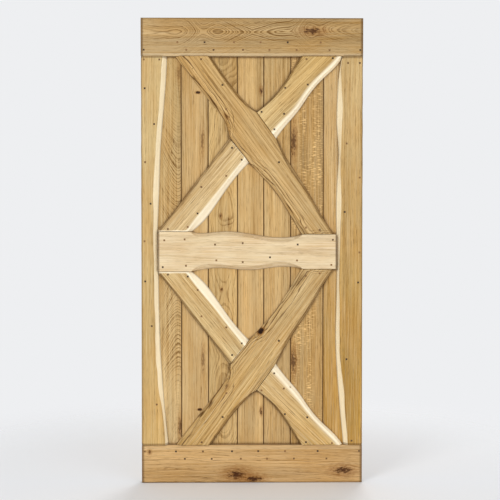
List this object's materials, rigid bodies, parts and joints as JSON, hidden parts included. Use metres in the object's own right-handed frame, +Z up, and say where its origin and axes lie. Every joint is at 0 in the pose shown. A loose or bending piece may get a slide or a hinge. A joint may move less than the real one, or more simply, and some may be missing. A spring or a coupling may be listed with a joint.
{
  "type": "sliding barn door leaf",
  "caption": "Rustic solid-wood sliding door leaf: upright grooved planks carrying a nailed front frame of rails, waney-edged stiles, a shaped middle rail and crossed braces.",
  "frame": {"origin": "middle of the leaf's bottom edge, half way through its thickness", "axes": "+Z up along the leaf's height, +X to the right seen from the front, front face towards -Y"},
  "size_m": [1, 0.042, 2.1],
  "materials": {
    "plank_oak": "oiled, satin",
    "frame_oak": "oiled, satin",
    "pale_oak": "oiled, satin",
    "nail_iron": "dull, dark"
  },
  "bodies": {
    "root": {"plank_1": "plank_oak", "plank_2": "plank_oak", "plank_3": "plank_oak", "plank_4": "plank_oak", "plank_5": "plank_oak", "plank_6": "plank_oak", "plank_7": "plank_oak", "top_rail": "frame_oak", "bottom_rail": "frame_oak", "left_stile": "frame_oak", "right_stile": "frame_oak", "upper_long_brace": "frame_oak", "upper_left_brace": "frame_oak", "upper_right_brace": "frame_oak", "lower_long_brace": "frame_oak", "lower_left_brace": "frame_oak", "lower_right_brace": "frame_oak", "middle_rail": "pale_oak", "rail_nails": "nail_iron", "stile_nails": "nail_iron", "brace_nails": "nail_iron"}
  },
  "joints": []
}
